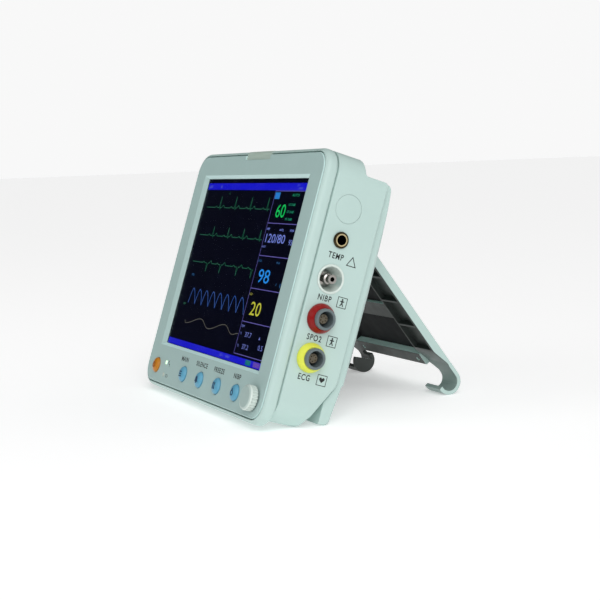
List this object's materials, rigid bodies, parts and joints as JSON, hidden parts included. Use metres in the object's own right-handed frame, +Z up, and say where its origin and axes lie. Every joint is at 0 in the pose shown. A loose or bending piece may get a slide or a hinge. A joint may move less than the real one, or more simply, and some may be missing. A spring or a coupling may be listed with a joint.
{
  "type": "patient monitor",
  "caption": "Tabletop patient monitor with a framed display, front keys and menu knob, side sensor sockets and a fold-out easel stand with hooked feet.",
  "frame": {"origin": "on the floor, at the centre of the whole object's box", "axes": "+X to the monitor's own right (socket side, the viewer's right), +Y from the display to the stand, +Z up; the case leans back about 18.6 degrees"},
  "size_m": [0.228, 0.1868, 0.18],
  "materials": {
    "case_shell": "fine moulded grain",
    "fascia": "fine moulded grain",
    "alarm_lens": "translucent satin",
    "clear_window": "clear acrylic",
    "display_glass": "display glass",
    "sheet_steel": "zinc plated",
    "circuit_board": "solder resist",
    "black_plastic": "moulded",
    "pump_steel": "plated can",
    "steel": "machined",
    "tube_rubber": "silicone",
    "power_orange": "silicone satin",
    "key_blue": "silicone satin",
    "lamp_plastic": "clear",
    "knob_white": "satin",
    "jack_brass": "turned",
    "contact_brass": "plated",
    "chrome": "polished",
    "collar_red": "satin gloss",
    "collar_yellow": "satin gloss",
    "socket_grey": "satin",
    "insert_tan": "moulded",
    "stand_shell": "fine moulded grain",
    "bar_shell": "fine moulded grain",
    "web_black": "soft touch"
  },
  "bodies": {
    "case": {"front_housing": "case_shell", "rear_cover": "case_shell", "blank_plug": "case_shell", "front_panel": "fascia", "alarm_lens": "alarm_lens", "display_window": "clear_window", "lcd_panel": "display_glass", "lcd_bracket": "sheet_steel", "main_board": "circuit_board", "parameter_board": "circuit_board", "power_board": "circuit_board", "backlight_inverter": "circuit_board", "key_board": "circuit_board", "battery_pack": "black_plastic", "battery_cover": "black_plastic", "mains_inlet": "black_plastic", "key_switches": "black_plastic", "encoder_body": "black_plastic", "nibp_valve": "black_plastic", "speaker": "black_plastic", "nibp_pump": "pump_steel", "battery_cover_screw": "steel", "case_screws": "steel", "hinge_pins": "steel", "air_tube": "tube_rubber", "indicator_light_pipes": "lamp_plastic", "nibp_cup": "knob_white", "temp_jack": "jack_brass", "spo2_contact_pins": "contact_brass", "ecg_contact_pins": "contact_brass", "mains_inlet_blades": "contact_brass", "nibp_fitting": "chrome", "ground_stud": "chrome", "spo2_collar": "collar_red", "ecg_collar": "collar_yellow", "spo2_socket": "socket_grey", "ecg_socket": "socket_grey", "spo2_contact_insert": "insert_tan", "ecg_contact_insert": "insert_tan", "hinge_bracket_left": "stand_shell", "hinge_bracket_right": "stand_shell"},
    "power_button": {"power_button": "power_orange"},
    "main_key": {"main_key": "key_blue"},
    "silence_key": {"silence_key": "key_blue"},
    "freeze_key": {"freeze_key": "key_blue"},
    "nibp_key": {"nibp_key": "key_blue"},
    "menu_rotor": {"encoder_rotor": "black_plastic"},
    "menu_knob": {"menu_knob": "knob_white", "encoder_shaft": "steel"},
    "stand": {"stand_arm_left": "stand_shell", "stand_arm_right": "stand_shell", "stand_upper_crossbar": "bar_shell", "stand_lower_crossbar": "bar_shell", "stand_bar_screws": "steel", "stand_web_panel": "web_black"}
  },
  "joints": [
    {"name": "stand_hinge", "type": "hinge", "parent": "case", "child": "stand", "pos_m": [-0.004, 0.01476, 0.11852], "axis": [1, 0, 0], "range_deg": [-54, 0]},
    {"name": "power_button_press", "type": "slide", "parent": "case", "child": "power_button", "axis": [0, 0.9479, -0.3184], "range_m": [0, 0.0012], "stiffness_N_per_m": 800},
    {"name": "main_key_press", "type": "slide", "parent": "case", "child": "main_key", "axis": [0, 0.9479, -0.3184], "range_m": [0, 0.0012], "stiffness_N_per_m": 800},
    {"name": "silence_key_press", "type": "slide", "parent": "case", "child": "silence_key", "axis": [0, 0.9479, -0.3184], "range_m": [0, 0.0012], "stiffness_N_per_m": 800},
    {"name": "freeze_key_press", "type": "slide", "parent": "case", "child": "freeze_key", "axis": [0, 0.9479, -0.3184], "range_m": [0, 0.0012], "stiffness_N_per_m": 800},
    {"name": "nibp_key_press", "type": "slide", "parent": "case", "child": "nibp_key", "axis": [0, 0.9479, -0.3184], "range_m": [0, 0.0012], "stiffness_N_per_m": 800},
    {"name": "menu_turn", "type": "hinge", "parent": "case", "child": "menu_rotor", "pos_m": [0.0884, -0.08499, 0.021], "axis": [0, 0.9479, -0.3184], "continuous": true},
    {"name": "menu_press", "type": "slide", "parent": "menu_rotor", "child": "menu_knob", "axis": [0, 0.9479, -0.3184], "range_m": [0, 0.0005], "stiffness_N_per_m": 1500}
  ]
}
